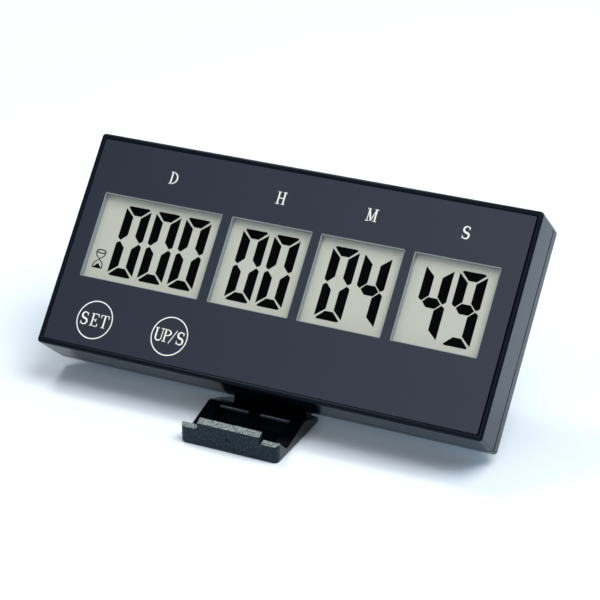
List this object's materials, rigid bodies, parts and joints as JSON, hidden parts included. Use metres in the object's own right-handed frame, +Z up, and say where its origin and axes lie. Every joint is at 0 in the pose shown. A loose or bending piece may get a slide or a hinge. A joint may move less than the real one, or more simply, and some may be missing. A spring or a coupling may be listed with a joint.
{
  "type": "digital countdown clock",
  "caption": "Slim black digital countdown clock with a recessed liquid crystal display and touch keys, leaning back on a small tilting stand with a stepped front lip.",
  "frame": {"origin": "on the surface the stand rests on, under the middle of the part's width and depth", "axes": "+X to the right along the clock's width as its user sees it, -Y towards the user, +Z up"},
  "size_m": [0.133, 0.0654, 0.0609],
  "materials": {
    "case_black": "moulded black ABS, polished sides",
    "panel_dark": "satin dark blue-black sheet",
    "cover_black": "moulded black ABS, fine texture",
    "stand_black": "moulded black ABS, spark texture",
    "lcd_glass": "grey-green liquid crystal glass over a reflector",
    "lcd_segment": "dark display segments",
    "legend_print": "off-white screen print",
    "tape": "black foam tape",
    "reflector_film": "pale diffusing film",
    "inner_plastic": "moulded black ABS",
    "elastomer": "striped silicone connector",
    "circuit_board": "green solder mask on glass laminate",
    "epoxy": "black epoxy",
    "component": "black component bodies",
    "cell_can": "printed cell jacket",
    "steel": "nickel-plated steel"
  },
  "bodies": {
    "stand": {"stand": "stand_black"},
    "clock": {"front_case": "case_black", "front_panel": "panel_dark", "panel_tape": "tape", "lcd_front_glass": "lcd_glass", "lcd_rear_glass": "lcd_glass", "lcd_reflector": "reflector_film", "lcd_holder": "inner_plastic", "connector_strip": "elastomer", "main_board": "circuit_board", "controller_blob": "epoxy", "quartz_crystal": "steel", "capacitors": "component", "buzzer": "component", "set_touch_pad": "elastomer", "up_touch_pad": "elastomer", "lower_battery_cell": "cell_can", "upper_battery_cell": "cell_can", "battery_positive_contact": "steel", "battery_negative_spring": "steel", "battery_bridge_contact": "steel", "rear_cover": "cover_black", "case_screws": "steel", "board_screws": "steel", "hinge_pin": "steel"},
    "battery_door": {"battery_cover": "cover_black"}
  },
  "joints": [
    {"name": "stand_tilt", "type": "hinge", "parent": "stand", "child": "clock", "pos_m": [0, -0.00569, 0.00461], "axis": [1, 0, 0], "range_deg": [-49.5, 20]},
    {"name": "cover_snap", "type": "slide", "parent": "clock", "child": "battery_door", "axis": [0, 0.7593, -0.6508], "range_m": [0, 0.005]}
  ]
}
